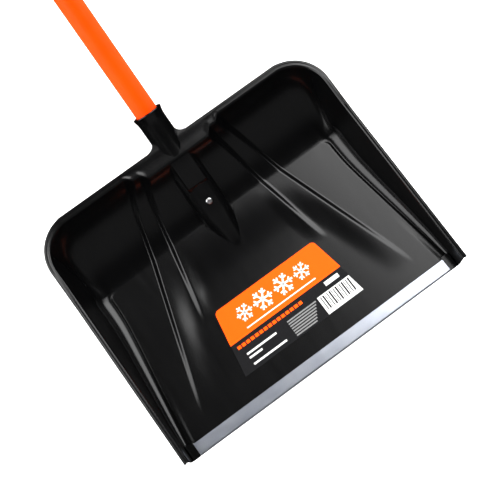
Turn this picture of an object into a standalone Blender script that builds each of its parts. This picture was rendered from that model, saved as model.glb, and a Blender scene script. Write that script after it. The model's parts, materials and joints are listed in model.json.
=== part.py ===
"""Snow shovel: a wide moulded scoop with an aluminium wear strip, on a straight plastic-coated tube with a
D-grip. Everything is built in the scoop's own frame: X across, Y from the lip to the back, Z up from the
floor, with the origin where the middle of the floor meets the back wall. An empty then lays the whole
shovel on the ground, resting on its heel and its grip, as a shovel lies when it is put down."""

import math

import bmesh
import bpy
import numpy as np
from mathutils import Matrix, Vector

MM = 0.001
GAP = 0.3 * MM
CUT_MARGIN = 5 * MM

# Scoop: overall sizes.
LIP_WIDTH = 480 * MM
BACK_WIDTH = 472 * MM
FLOOR_LENGTH = 243 * MM
STRIP_DEPTH = 20 * MM
BACK_DEPTH = 110 * MM
BACK_HEIGHT = 82 * MM
LIP_HEIGHT = 38 * MM
SHELL = 2.8 * MM

# Scoop: where the walls leave the floor, and how steeply they end.
FLOOR_HALF_AT_LIP = 221 * MM
FLOOR_HALF_AT_BACK = 195 * MM
FLOOR_CORNER = 25 * MM
RIM_CORNER = 58 * MM
SIDE_ANGLE_AT_LIP = math.radians(79)
SIDE_ANGLE_AT_BACK = math.radians(72)
BACK_ANGLE = math.radians(70)

# Rim flange, turned outwards round the top of the walls.
SIDE_RIM = 9 * MM
BACK_RIM = 12 * MM
RIM_BEND = 4 * MM
RIM_SKIRT = 3.5 * MM

# Stepped panels of the back wall: each rib is a steep outer face whose foot runs down and outwards.
OUTER_RIB = {"at_fold": 118 * MM, "wall_slope": 0.27, "floor_slope": 0.32, "end": 207 * MM,
             "at_top": 7 * MM, "height": 4.5 * MM, "level_end": 100 * MM, "fall": 28 * MM}
INNER_RIB = {"at_fold": 85 * MM, "wall_slope": 0.17, "floor_slope": 0.22, "end": 118 * MM,
             "at_top": 10 * MM, "height": 4.5 * MM, "level_end": 70 * MM, "fall": 18 * MM}
RIB_FACE = 6 * MM

# Shaft, its socket, and the tunnel that covers the shaft inside the scoop.
SHAFT_ANGLE = math.radians(29)
SHAFT_RADIUS = 16.5 * MM
SHAFT_LENGTH = 1050 * MM
SHAFT_FOOT_Y = 12 * MM
AXIS_HEIGHT_AT_RIM = 70 * MM
COAT = 0.9 * MM
TUBE_WALL = 1.2 * MM
PLUG_LENGTH = 36 * MM
PLUG_BEVEL = 2 * MM
PLUG_INSET = 1.5 * MM
COLLAR_RADIUS = 19.4 * MM
COLLAR_START = 2 * MM
COLLAR_LENGTH = 52 * MM
MOUTH_RADIUS = 22 * MM
MOUTH_FLARE = 14 * MM
TUNNEL_RADIUS = 20 * MM
TUNNEL_BLOCK_RADIUS = 22.5 * MM
TUNNEL_BLOCK_START = 95 * MM
TUNNEL_TIP = 68 * MM
TUNNEL_FOOT = 4 * MM
FLARE_HALF = 27 * MM
FLARE_LENGTH = 13 * MM
FLARE_THICKNESS = 4.6 * MM
BORE_END = 0.6 * MM

# Wear strip: a folded channel pushed over a thin tongue on the scoop's front edge.
STRIP_HALF = 217 * MM
STRIP_SHEET = 1.0 * MM
TONGUE = 1.8 * MM
TONGUE_ROOT = 3 * MM
LUG_WIDTH = 6 * MM
LUG_RISE = 1.2 * MM

# Screws.
SOCKET_SCREW_Y = 24.4 * MM
SCREW_RADIUS = 2.1 * MM
SCREW_HEAD = 4.7 * MM
SCREW_HEAD_HEIGHT = 2.4 * MM
SCREW_LENGTH = 20 * MM
SCREW_TIP = 5 * MM
SCREW_RIM = 0.8 * MM
SCREW_SEAT_DEPTH = 0.4 * MM
CROSS_HALF = 2.6 * MM
CROSS_BAR_HALF = 0.5 * MM
CROSS_DEPTH = 1 * MM
SEAT_CLEARANCE = 0.8 * MM
SEAT_HEIGHT = 9 * MM
SCREW_SIDES = 24

# Grip.
GRIP_OVERLAP = 52 * MM
STEM_RADIUS = 19.5 * MM
BAR_HALF = 57 * MM
BAR_HEIGHT = 150 * MM
BAR_RADIUS = 13.5 * MM
BAR_FLAT = 0.86
GRIP_WAIST = 15 * MM
GRIP_WAIST_HEIGHT = 68 * MM
WAIST_DIP = 2 * MM
GRIP_CORNER = 20 * MM
STEM_SHOULDER = 18 * MM
BAR_POINTS = 3
LOOP_SIDES = 14

# Sticker on the floor of the scoop.
LABEL_TOP_Y = -112 * MM
LABEL_BOTTOM_Y = -212 * MM
LABEL_TOP_HALF = 88 * MM
LABEL_BOTTOM_HALF = 104 * MM
LABEL_CORNER = 7 * MM
LABEL_THICKNESS = 0.25 * MM

LIP_Y = -(FLOOR_LENGTH + STRIP_DEPTH)
WALL_TOP_Y = BACK_DEPTH - BACK_RIM
ROUND = 40


# ---------------------------------------------------------------- helpers

def ease(t):
    """Smooth step from 0 to 1, held at both ends."""
    t = min(max(t, 0.0), 1.0)
    return t * t * (3 - 2 * t)


def mix(a, b, t):
    return a + (b - a) * t


def make_material(name, colour, roughness, metallic=0.0):
    material = bpy.data.materials.new(name)
    material.use_nodes = True
    shader = material.node_tree.nodes["Principled BSDF"]
    shader.inputs["Base Color"].default_value = (*colour, 1.0)
    shader.inputs["Roughness"].default_value = roughness
    shader.inputs["Metallic"].default_value = metallic
    return material


def add_object(name, bm, frame, material=None):
    """Turns a bmesh into an object of the given parent; without a material it is a cutter or a guide."""
    mesh = bpy.data.meshes.new(name)
    bmesh.ops.recalc_face_normals(bm, faces=bm.faces)
    bm.to_mesh(mesh)
    bm.free()
    obj = bpy.data.objects.new(name, mesh)
    bpy.context.scene.collection.objects.link(obj)
    obj.parent = frame
    if material:
        mesh.materials.append(material)
        mesh.shade_smooth()
        mesh.set_sharp_from_angle(angle=math.radians(35))
    else:
        obj.hide_render = True
        obj.display_type = "WIRE"
    return obj


def add_boolean(obj, other, operation):
    modifier = obj.modifiers.new(operation.title() + " " + other.name, "BOOLEAN")
    modifier.operation = operation
    modifier.object = other


def turned(profile, matrix, steps=ROUND):
    """Closed solid of revolution from a profile of (radius, height) points that ends on the axis or loops."""
    bm = bmesh.new()
    rings = []
    for radius, height in profile:
        if radius == 0:
            rings.append([bm.verts.new((0, 0, height))])
            continue
        ring = []
        for k in range(steps):
            angle = 2 * math.pi * (k + 0.5) / steps
            ring.append(bm.verts.new((radius * math.cos(angle), radius * math.sin(angle), height)))
        rings.append(ring)
    closed = profile[0][0] != 0
    pairs = list(zip(rings, rings[1:]))
    if closed:
        pairs.append((rings[-1], rings[0]))
    for low, high in pairs:
        for k in range(steps):
            corners = [low[k % len(low)], low[(k + 1) % steps % len(low)],
                       high[(k + 1) % steps % len(high)], high[k % len(high)]]
            bm.faces.new(list(dict.fromkeys(corners)))
    bm.transform(matrix)
    return bm


def extruded(outline, low, high):
    """Closed solid between two levels of Z with the given outline in X and Y."""
    bm = bmesh.new()
    base = bm.faces.new([bm.verts.new((x, y, low)) for x, y in outline])
    lifted = bmesh.ops.extrude_face_region(bm, geom=[base])["geom"]
    for vertex in lifted:
        if isinstance(vertex, bmesh.types.BMVert):
            vertex.co.z = high
    return bm


def arc(centre, radius, start, end, steps):
    """Points of an arc in a plane, from one angle in degrees to another."""
    angles = [math.radians(mix(start, end, k / steps)) for k in range(steps + 1)]
    return [(centre[0] + radius * math.cos(a), centre[1] + radius * math.sin(a)) for a in angles]


# ---------------------------------------------------------------- shaft axis

AXIS = Vector((0, math.cos(SHAFT_ANGLE), math.sin(SHAFT_ANGLE)))
AXIS_UP = Vector((0, -math.sin(SHAFT_ANGLE), math.cos(SHAFT_ANGLE)))


def axis_point(y):
    """Point of the shaft's axis above a place on the floor."""
    return Vector((0, y, AXIS_HEIGHT_AT_RIM - (BACK_DEPTH - y) * math.tan(SHAFT_ANGLE)))


def along_shaft(start):
    """Matrix that stands a turned solid on the shaft's axis, its Z along the shaft, its Y on AXIS_UP."""
    turn = Matrix((Vector((-1, 0, 0)), AXIS_UP, AXIS)).transposed().to_4x4()
    return Matrix.Translation(start) @ turn


def across_shaft(start):
    """Matrix for a screw: its Z leaves the shaft at right angles, out of the scoop's open side."""
    turn = Matrix((Vector((1, 0, 0)), AXIS, -AXIS_UP)).transposed().to_4x4()
    turn = turn @ Matrix.Rotation(math.pi, 4, "X")
    return Matrix.Translation(start) @ turn


SHAFT_FOOT = axis_point(SHAFT_FOOT_Y)
SHAFT_TOP = SHAFT_FOOT + AXIS * SHAFT_LENGTH
MOUTH = axis_point(BACK_DEPTH) + AXIS * COLLAR_LENGTH


# ---------------------------------------------------------------- scoop surface

def rib_foot(rib, s):
    """Distance of a rib's foot from the middle, at s up the wall or, where s is negative, down the floor."""
    slope = rib["wall_slope"] if s > 0 else rib["floor_slope"]
    return rib["at_fold"] - slope * max(s, -rib["end"])


def rib_rise(rib, inside, s):
    """How far a rib lifts the panel behind its foot: a crest along the rib, then the level of the panel."""
    if inside <= 0 or s < -rib["end"]:
        return 0.0
    wall_share = ease(s / wall_length())
    crest = mix(rib["height"] * (1 + min(s, 0) / rib["end"]), rib["at_top"], wall_share)
    level = mix(rib["height"] * ease(1 + min(s, 0) / rib["level_end"]), rib["at_top"], wall_share)
    behind = ease((inside - RIB_FACE) / rib["fall"])
    return ease(inside / RIB_FACE) * mix(crest, level, behind)


def section_sizes(reach, rise, angle):
    """Radius of the arc and length of the straight run that together climb a wall of this reach and rise."""
    share = 1 - math.cos(angle)
    radius = (reach * math.sin(angle) - rise * math.cos(angle)) / share
    straight = (rise * math.sin(angle) - reach * share) / share
    return radius, straight


def rim_bend_rise(angle):
    return RIM_BEND * (1 - math.cos(angle))


def wall_length():
    """Length of the back wall's section, from the fold to the rim's bend."""
    radius, straight = section_sizes(WALL_TOP_Y, BACK_HEIGHT - rim_bend_rise(BACK_ANGLE), BACK_ANGLE)
    return radius * BACK_ANGLE + straight


def wall_section(reach, rise, angle, arc_steps, straight_steps):
    """Points (outwards, up, turn) of a wall: an arc that starts flat on the floor, then a straight run."""
    radius, straight = section_sizes(reach, rise - rim_bend_rise(angle), angle)
    points = []
    for k in range(arc_steps + 1):
        turn = angle * k / arc_steps
        points.append((radius * math.sin(turn), radius * (1 - math.cos(turn)), turn))
    for k in range(1, straight_steps + 1):
        run = straight * k / straight_steps
        points.append((points[arc_steps][0] + run * math.cos(angle),
                       points[arc_steps][1] + run * math.sin(angle), angle))
    return points


def rim_section(start, angle, outer, bend_steps):
    """Points (outwards, up) that carry on from a wall's top: over the bend, out along the flange, down."""
    out, up = start
    points = []
    for k in range(1, bend_steps + 1):
        turn = angle * (1 - k / bend_steps)
        points.append((out + RIM_BEND * (math.sin(angle) - math.sin(turn)),
                       up + RIM_BEND * (math.cos(turn) - math.cos(angle))))
    top = points[-1][1]
    for k in range(bend_steps + 1):
        turn = math.pi / 2 * k / bend_steps
        points.append((outer - RIM_BEND * (1 - math.sin(turn)), top - RIM_BEND * (1 - math.cos(turn))))
    points.append((outer, top - RIM_BEND - RIM_SKIRT))
    return points


def tunnel_sizes(base, push, s):
    """Heights of the tunnel's straight side and of its arch, measured from a place on the scoop along push."""
    away = (base - axis_point(0)).dot(AXIS_UP)
    lean = push.dot(AXIS_UP)
    radius = TUNNEL_BLOCK_RADIUS if s > TUNNEL_BLOCK_START else TUNNEL_RADIUS
    return max(-away, 0) / lean, max(radius - max(away, 0), 0) / lean


def tunnel_half(y):
    """Half width of the tunnel's footprint, which closes to a point on the floor and stays narrow after it."""
    axis_landing = -axis_point(0).z / math.tan(SHAFT_ANGLE)
    gone = (axis_landing - y) / (TUNNEL_TIP + axis_landing)
    if gone <= 0:
        return TUNNEL_RADIUS
    narrow = TUNNEL_RADIUS * 0.08
    if gone >= 1:
        return narrow * (1 + 3 * (gone - 1))
    return max(TUNNEL_RADIUS * (1 - gone ** 2) ** 0.62, narrow)


def tunnel_rise(x, s, base, push):
    """How far the tunnel lifts the scoop's surface at this place."""
    half = tunnel_half(min(base.y, 0))
    side, crown = tunnel_sizes(Vector((0, base.y, base.z)), push, s)
    share = abs(x) / half
    if share <= 1:
        return side + crown * math.sqrt(1 - share ** 2)
    return side * max(1 - (abs(x) - half) / TUNNEL_FOOT, 0)


def column_places(y, s, edge):
    """Half the columns of the scoop's grid at one row, from the middle outwards; they follow the ribs."""
    half = tunnel_half(min(y, 0))
    foot = half + TUNNEL_FOOT
    inner, outer = rib_foot(INNER_RIB, s), rib_foot(OUTER_RIB, s)
    inner_level, outer_crest = inner - RIB_FACE - INNER_RIB["fall"], outer - RIB_FACE
    places = [0, 0.35 * half, 0.65 * half, 0.87 * half, half, foot]
    places += [mix(foot, inner_level, 0.5), inner_level, inner - RIB_FACE, inner]
    places += [mix(inner, outer_crest, 0.5), outer_crest, outer]
    places += [mix(outer, edge, 0.5), edge]
    return places


def both_sides(places):
    """Mirrors half a row of columns, from left to right."""
    return [-x for x in reversed(places[1:])] + places


# ---------------------------------------------------------------- scoop outline

def floor_half(y):
    """Half width of the flat floor."""
    return mix(FLOOR_HALF_AT_BACK, FLOOR_HALF_AT_LIP, min(y, 0) / LIP_Y)


def rim_half(y):
    """Half width over the outside of the rim."""
    return mix(BACK_WIDTH, LIP_WIDTH, min(y, 0) / LIP_Y) / 2


def rim_height(y):
    """Height of the rim's top over the floor."""
    return mix(LIP_HEIGHT, BACK_HEIGHT, min((y - LIP_Y) / (BACK_DEPTH - RIM_CORNER - LIP_Y), 1))


def inside_outline(x, y, inset, back_inset):
    """True inside the scoop's plan outline, drawn in from the rim by an inset at the sides and at the back."""
    radius = RIM_CORNER - inset
    half = rim_half(y) - inset
    back = BACK_DEPTH - back_inset
    past_side, past_back = abs(x) - (half - radius), y - (back - radius)
    if past_side > 0 and past_back > 0:
        return past_side ** 2 + past_back ** 2 < radius ** 2
    return abs(x) < half and y < back


def reach_to_outline(origin, direction, inset, back_inset):
    """Distance from a point to that outline, going one way."""
    near, far = 0.0, 0.3
    for _ in range(40):
        middle = (near + far) / 2
        point = origin + direction * middle
        if inside_outline(point.x, point.y, inset, back_inset):
            near = middle
        else:
            far = middle
    return near


ARC_STEPS = 7
STRAIGHT_STEPS = 2
BEND_STEPS = 2
CORNER_STEPS = 7
CORE_BACK = -FLOOR_CORNER
CORE_STEPS = 12
CORE_CROWDING = 1.5
CORE_ROWS = [mix(CORE_BACK, -FLOOR_LENGTH, (1 - k / CORE_STEPS) ** CORE_CROWDING) for k in range(CORE_STEPS + 1)]


def wall_levels(origin, direction, angle):
    """Section of wall and rim at one station: distances out from the core, heights, turns, and which are wall."""
    reach = reach_to_outline(origin, direction, SIDE_RIM, BACK_RIM) - FLOOR_CORNER
    outer = reach_to_outline(origin, direction, 0, 0) - FLOOR_CORNER
    rise = rim_height((origin + direction * (outer + FLOOR_CORNER)).y)
    wall = wall_section(reach, rise, angle, ARC_STEPS, STRAIGHT_STEPS)
    rim = rim_section(wall[-1][:2], angle, outer, BEND_STEPS)
    return wall, rim


def scoop_station(origin, direction, angle):
    """Plain points of one station, from the floor's edge to the foot of the rim's skirt."""
    wall, rim = wall_levels(origin, direction, angle)
    return [origin + direction * (FLOOR_CORNER + point[0]) + Vector((0, 0, point[1]))
            for point in wall + rim]


def back_stations():
    """Points of the stations across the back, with their stepped panels, and the same with the tunnel."""
    edge = floor_half(CORE_BACK) - FLOOR_CORNER
    wall, rim = wall_levels(Vector((0, CORE_BACK, 0)), Vector((0, 1, 0)), BACK_ANGLE)
    length = wall_length()
    panel_rows, tunnel_rows = [], []
    travelled, previous = 0.0, wall[0]
    for out, up, turn in wall:
        travelled += math.hypot(out - previous[0], up - previous[1])
        previous = (out, up)
        s = min(travelled, length)
        lean = turn / BACK_ANGLE * math.pi / 2
        push = Vector((0, -math.sin(lean), math.cos(lean)))
        panel_row, tunnel_row = [], []
        for x in both_sides(column_places(out, s, edge)):
            base = Vector((x, out, up))
            step = panel_rise(x, s)
            lift = max(step, tunnel_rise(x, s, base, push))
            panel_row.append(base + push * step)
            tunnel_row.append(base + push * lift)
        panel_rows.append(panel_row)
        tunnel_rows.append(tunnel_row)
    places = both_sides(column_places(wall[-1][0], length, edge))
    for k, (out, up) in enumerate(rim):
        on_bend = k < BEND_STEPS
        row = [Vector((x, out - (panel_rise(x, length) if on_bend else 0), up)) for x in places]
        panel_rows.append(row)
        tunnel_rows.append(row)
    return list(zip(*panel_rows)), list(zip(*tunnel_rows))


def panel_rise(x, s):
    """Height of the stepped panels over the plain wall or floor."""
    return (rib_rise(OUTER_RIB, rib_foot(OUTER_RIB, s) - abs(x), s)
            + rib_rise(INNER_RIB, rib_foot(INNER_RIB, s) - abs(x), s))


def scoop_surface():
    """The scoop's open-side surface as plain points, the same with the tunnel, and its faces."""
    plain, full, faces = [], [], []

    def add(point, lifted=None):
        plain.append(point)
        full.append(lifted or point)
        return len(plain) - 1

    core = []
    for y in CORE_ROWS:
        edge = floor_half(y) - FLOOR_CORNER
        indices = []
        for x in both_sides(column_places(y, y, edge)):
            base = Vector((x, y, 0))
            step = panel_rise(x, y)
            lift = max(step, tunnel_rise(x, y, base, Vector((0, 0, 1))))
            indices.append(add(Vector((x, y, step)), Vector((x, y, lift))))
        core.append(indices)

    ring = []
    for side in (-1, 1):
        outwards = Vector((side, 0, 0))
        column = 0 if side < 0 else -1
        rows = [LIP_Y] + CORE_ROWS
        stations = []
        for number, y in enumerate(rows):
            origin = Vector((side * (floor_half(y) - FLOOR_CORNER), y, 0))
            angle = mix(SIDE_ANGLE_AT_BACK, SIDE_ANGLE_AT_LIP, y / LIP_Y)
            start = core[number - 1][column] if number else None
            stations.append([start] + [add(p) for p in scoop_station(origin, outwards, angle)])
        pole = Vector((side * (floor_half(CORE_BACK) - FLOOR_CORNER), CORE_BACK, 0))
        for k in range(1, CORNER_STEPS):
            turn = math.pi / 2 * k / CORNER_STEPS
            direction = Vector((side * math.cos(turn), math.sin(turn), 0))
            angle = mix(SIDE_ANGLE_AT_BACK, BACK_ANGLE, k / CORNER_STEPS)
            stations.append([core[-1][column]] + [add(p) for p in scoop_station(pole, direction, angle)])
        ring.append(stations)
    panel_columns, tunnel_columns = back_stations()
    across = []
    for number, (panel, lifted) in enumerate(zip(panel_columns, tunnel_columns)):
        across.append([core[-1][number]] + [add(p, q) for p, q in zip(panel, lifted)])
    stations = ring[0] + across + ring[1][::-1]

    for low, high in zip(core, core[1:]):
        for k in range(len(low) - 1):
            faces.append([low[k], low[k + 1], high[k + 1], high[k]])
    for left, right in zip(stations, stations[1:]):
        for level in range(len(left) - 1):
            corners = [left[level], left[level + 1], right[level + 1], right[level]]
            if None not in corners:
                faces.append(list(dict.fromkeys(reversed(corners))))
    return plain, full, faces


def thickened(plain, full, faces):
    """Closes the surface into a shell: the back follows the plain points at the shell's thickness."""
    points = np.array(plain)
    normals = np.zeros_like(points)
    for face in faces:
        corners = points[face]
        normal = np.cross(corners[2] - corners[0], corners[-1] - corners[1 % len(face)])
        normals[face] += normal / np.linalg.norm(normal)
    normals /= np.linalg.norm(normals, axis=1)[:, None]
    backs = points - SHELL * normals
    bm = bmesh.new()
    front = [bm.verts.new(point) for point in full]
    back = [bm.verts.new(point) for point in backs]
    edges = {}
    for face in faces:
        bm.faces.new([front[k] for k in face])
        bm.faces.new([back[k] for k in reversed(face)])
        for a, b in zip(face, face[1:] + face[:1]):
            edges[(a, b)] = True
    for a, b in edges:
        if (b, a) not in edges:
            bm.faces.new([front[b], front[a], back[a], back[b]])
    return bm


# ---------------------------------------------------------------- pieces

def collar_shape():
    """Solid of the collar round the shaft, with a flared mouth."""
    start = SHAFT_FOOT + AXIS * COLLAR_START
    length = (MOUTH - start).length
    waist = length - MOUTH_FLARE
    half_way = length - MOUTH_FLARE * 0.43
    profile = [(0, 0), (COLLAR_RADIUS, 0), (COLLAR_RADIUS, waist),
               (mix(COLLAR_RADIUS, MOUTH_RADIUS, 0.35), half_way), (MOUTH_RADIUS, length), (0, length)]
    return turned(profile, along_shaft(start))


def flare_shape():
    """Web that spreads the collar out into the rim's flange."""
    outline = arc((FLARE_HALF, BACK_DEPTH + FLARE_LENGTH), FLARE_LENGTH, 270, 180, 5)
    outline += [(-x, y) for x, y in reversed(outline)]
    outline += [(-FLARE_HALF, BACK_DEPTH - RIM_BEND), (FLARE_HALF, BACK_DEPTH - RIM_BEND)]
    top = BACK_HEIGHT - GAP
    return extruded(outline, top - FLARE_THICKNESS, top)


def tongue_shape():
    """Thin front edge of the floor that the wear strip is pushed over."""
    half = STRIP_HALF - MM
    low = -SHELL / 2 - TONGUE / 2
    front, back = LIP_Y + STRIP_SHEET + GAP * 2, -FLOOR_LENGTH + TONGUE_ROOT
    return extruded([(-half, front), (half, front), (half, back), (-half, back)], low, low + TONGUE)


def lug_shape(side):
    """Block that fills the corner between one end of the wear strip and the side wall."""
    near, far = side * (STRIP_HALF + GAP), side * (STRIP_HALF + GAP + LUG_WIDTH)
    front, back = LIP_Y + STRIP_SHEET, -FLOOR_LENGTH + TONGUE_ROOT
    outline = [(near, front), (far, front), (far, back), (near, back)]
    return extruded(outline[::side], -SHELL, LUG_RISE)


def make_scoop(frame, material):
    """The moulded scoop, with the collar, the flare, the tongue and its two lugs joined on, bored for the shaft."""
    scoop = add_object("scoop", thickened(*scoop_surface()), frame, material)
    shapes = [("socket_collar_shape", collar_shape()), ("collar_flare_shape", flare_shape()),
              ("strip_tongue_shape", tongue_shape()), ("left_lug_shape", lug_shape(-1)),
              ("right_lug_shape", lug_shape(1))]
    for name, bm in shapes:
        add_boolean(scoop, add_object(name, bm, frame), "UNION")
    start = SHAFT_FOOT - AXIS * BORE_END
    length = (MOUTH - start).length + CUT_MARGIN
    radius = SHAFT_RADIUS + GAP
    bore = turned([(0, 0), (radius, 0), (radius, length), (0, length)], along_shaft(start))
    bore_cutter = add_object("socket_bore_cutter", bore, frame)
    add_boolean(scoop, bore_cutter, "DIFFERENCE")
    return scoop, bore_cutter


def make_wear_strip(frame, material):
    """Channel section, open at the back, folded from thin sheet with a round nose; it runs across the lip."""
    middle = -SHELL / 2
    inner = TONGUE / 2 + GAP
    outer = inner + STRIP_SHEET
    nose = LIP_Y + outer
    back = -FLOOR_LENGTH - 2 * GAP
    section = arc((nose, middle), outer, 90, 270, 8)
    section += [(back, middle - outer), (back, middle - inner)]
    section += arc((nose, middle), inner, 270, 90, 4)
    section += [(back, middle + inner), (back, middle + outer)]
    bm = extruded(section, -STRIP_HALF, STRIP_HALF)
    bm.transform(Matrix(((0, 0, 1, 0), (1, 0, 0, 0), (0, 1, 0, 0), (0, 0, 0, 1))))
    return add_object("wear_strip", bm, frame, material)


def sleeve(inner, outer, low, high):
    """Profile of a plain tube."""
    return [(outer, low), (outer, high), (inner, high), (inner, low)]


def make_shaft(frame, steel, coat):
    matrix = along_shaft(SHAFT_FOOT)
    tube_radius = SHAFT_RADIUS - COAT - GAP
    tube = add_object("shaft_tube", turned(sleeve(tube_radius - TUBE_WALL, tube_radius, 0, SHAFT_LENGTH), matrix),
                      frame, steel)
    cover = add_object("shaft_coating", turned(sleeve(SHAFT_RADIUS - COAT, SHAFT_RADIUS, 0, SHAFT_LENGTH), matrix),
                       frame, coat)
    return tube, cover


def make_tube_plug(frame, material):
    radius = SHAFT_RADIUS - COAT - GAP - TUBE_WALL - GAP
    length, bevel = PLUG_LENGTH, PLUG_BEVEL
    profile = [(0, 0), (radius, 0), (radius, length - bevel), (radius - bevel, length), (0, length)]
    return add_object("tube_plug", turned(profile, along_shaft(SHAFT_FOOT + AXIS * PLUG_INSET)), frame, material)


def make_screw(name, seat, frame, material):
    """Pan-head screw, its head's underside at the seat, its shank running in towards the shaft's axis."""
    crown = SCREW_HEAD_HEIGHT - SCREW_RIM
    profile = [(0, -SCREW_LENGTH), (SCREW_RADIUS / 2, -SCREW_LENGTH + SCREW_TIP * 0.4),
               (SCREW_RADIUS, -SCREW_LENGTH + SCREW_TIP), (SCREW_RADIUS, 0), (SCREW_HEAD, 0),
               (SCREW_HEAD, SCREW_RIM), (SCREW_HEAD * 0.85, SCREW_RIM + crown * 0.6),
               (SCREW_HEAD * 0.5, SCREW_HEAD_HEIGHT), (0, SCREW_HEAD_HEIGHT)]
    screw = add_object(name, turned(profile, across_shaft(seat), SCREW_SIDES), frame, material)
    long, short = CROSS_HALF, CROSS_BAR_HALF
    quarter = [(short, short), (short, long), (-short, long)]
    cross = [(x * c - y * s, x * s + y * c) for c, s in ((1, 0), (0, 1), (-1, 0), (0, -1)) for x, y in quarter]
    recess = extruded(cross, SCREW_HEAD_HEIGHT - CROSS_DEPTH, SCREW_HEAD_HEIGHT + CROSS_DEPTH)
    recess.transform(across_shaft(seat))
    add_boolean(screw, add_object(name + "_cross_cutter", recess, frame), "DIFFERENCE")
    return screw


def drill_for_screw(name, seat, pieces, frame):
    """Cuts the screw's clearance hole, and a flat seat for its head, through each piece or joins it to a cutter."""
    radius = SCREW_RADIUS + GAP
    head = SCREW_HEAD + SEAT_CLEARANCE
    low, high = -SCREW_LENGTH - 2 * GAP, SEAT_HEIGHT
    profile = [(0, low), (radius, low), (radius, -GAP), (head, -GAP), (head, high), (0, high)]
    cutter = add_object(name + "_hole_cutter", turned(profile, across_shaft(seat), SCREW_SIDES), frame)
    for piece in pieces:
        add_boolean(piece, cutter, "UNION" if piece.hide_render else "DIFFERENCE")


def grip_path():
    """Middle line of the grip's loop, across the shaft and along it, as a rounded triangle on a short base."""
    low = (GRIP_WAIST, GRIP_WAIST_HEIGHT)
    high = (BAR_HALF, BAR_HEIGHT)
    lean = math.degrees(math.atan2(high[1] - low[1], high[0] - low[0]))
    centre = (high[0] - GRIP_CORNER, high[1] - GRIP_CORNER)
    corner = arc(centre, GRIP_CORNER, lean - 90, 90, 6)
    shoulder = corner[0]
    rise = [(mix(low[0], shoulder[0], k / 3), mix(low[1], shoulder[1], k / 3)) for k in range(3)]
    right = rise + corner
    bar_half = high[0] - GRIP_CORNER
    bar = [(bar_half * (1 - 2 * k / (BAR_POINTS + 1)), high[1]) for k in range(1, BAR_POINTS + 1)]
    left = [(-x, y) for x, y in reversed(right)]
    return right + bar + left + [(0, low[1] - WAIST_DIP)]


def grip_loop(start):
    """Oval tube that follows the grip's path all the way round."""
    bm = bmesh.new()
    path = [Vector((x, 0, z)) for x, z in grip_path()]
    rings = []
    for k, point in enumerate(path):
        ahead = (path[(k + 1) % len(path)] - path[k - 1]).normalized()
        side = ahead.cross(Vector((0, 1, 0)))
        ring = []
        for step in range(LOOP_SIDES):
            angle = 2 * math.pi * step / LOOP_SIDES
            across = side * math.cos(angle) * BAR_RADIUS * BAR_FLAT
            depth = Vector((0, math.sin(angle) * BAR_RADIUS, 0))
            ring.append(bm.verts.new(point + across + depth))
        rings.append(ring)
    for ring, following in zip(rings, rings[1:] + rings[:1]):
        for step in range(LOOP_SIDES):
            after = (step + 1) % LOOP_SIDES
            bm.faces.new([ring[step], ring[after], following[after], following[step]])
    bm.transform(along_shaft(start))
    return bm


def make_grip(frame, material):
    """D-grip: a stem that slips over the shaft, and a loop with an oval bar."""
    start = SHAFT_TOP - AXIS * GRIP_OVERLAP
    stem_top = GRIP_OVERLAP + STEM_SHOULDER
    profile = [(0, 0), (STEM_RADIUS, 0), (STEM_RADIUS, GRIP_OVERLAP - 8 * MM),
               (STEM_RADIUS - 2 * MM, stem_top - 5 * MM), (STEM_RADIUS - 6 * MM, stem_top), (0, stem_top)]
    grip = add_object("grip", turned(profile, along_shaft(start)), frame, material)
    add_boolean(grip, add_object("grip_loop_shape", grip_loop(start), frame), "UNION")
    radius, low, high = SHAFT_RADIUS + GAP, -CUT_MARGIN, GRIP_OVERLAP + GAP
    bore = turned([(0, low), (radius, low), (radius, high), (0, high)], along_shaft(start))
    bore_cutter = add_object("grip_bore_cutter", bore, frame)
    add_boolean(grip, bore_cutter, "DIFFERENCE")
    return bore_cutter


def make_label(frame, material):
    """Sticker on the floor: wider towards the lip, with round corners at its narrow end."""
    lean = math.degrees(math.atan2(LABEL_BOTTOM_HALF - LABEL_TOP_HALF, LABEL_TOP_Y - LABEL_BOTTOM_Y))
    centre = (LABEL_TOP_HALF - LABEL_CORNER, LABEL_TOP_Y - LABEL_CORNER)
    corner = arc(centre, LABEL_CORNER, lean, 90, 5)
    outline = [(LABEL_BOTTOM_HALF, LABEL_BOTTOM_Y)] + corner
    outline += [(-x, y) for x, y in reversed(outline)]
    return add_object("label", extruded(outline, GAP, GAP + LABEL_THICKNESS), frame, material)


# ---------------------------------------------------------------- resting pose

def lowest(shapes, turn):
    """Lowest point of some shapes after a turn."""
    return min((turn @ vertex.co).z for shape in shapes for vertex in shape.data.vertices)


def lay_on_ground(frame, heel, hand):
    """Turns the shovel back until the heel's shapes and the hand's touch the ground, and centres it there."""
    flat, steep = 0.0, math.radians(60)
    for _ in range(40):
        lean = (flat + steep) / 2
        turn = Matrix.Rotation(-lean, 4, "X")
        if lowest(heel, turn) < lowest(hand, turn):
            flat = lean
        else:
            steep = lean
    turn = Matrix.Rotation(-lean, 4, "X")
    reach = [(turn @ vertex.co).y for shape in heel + hand for vertex in shape.data.vertices]
    frame.rotation_euler = (-lean, 0, 0)
    frame.location = (0, -(min(reach) + max(reach)) / 2, -lowest(heel, turn))


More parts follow.
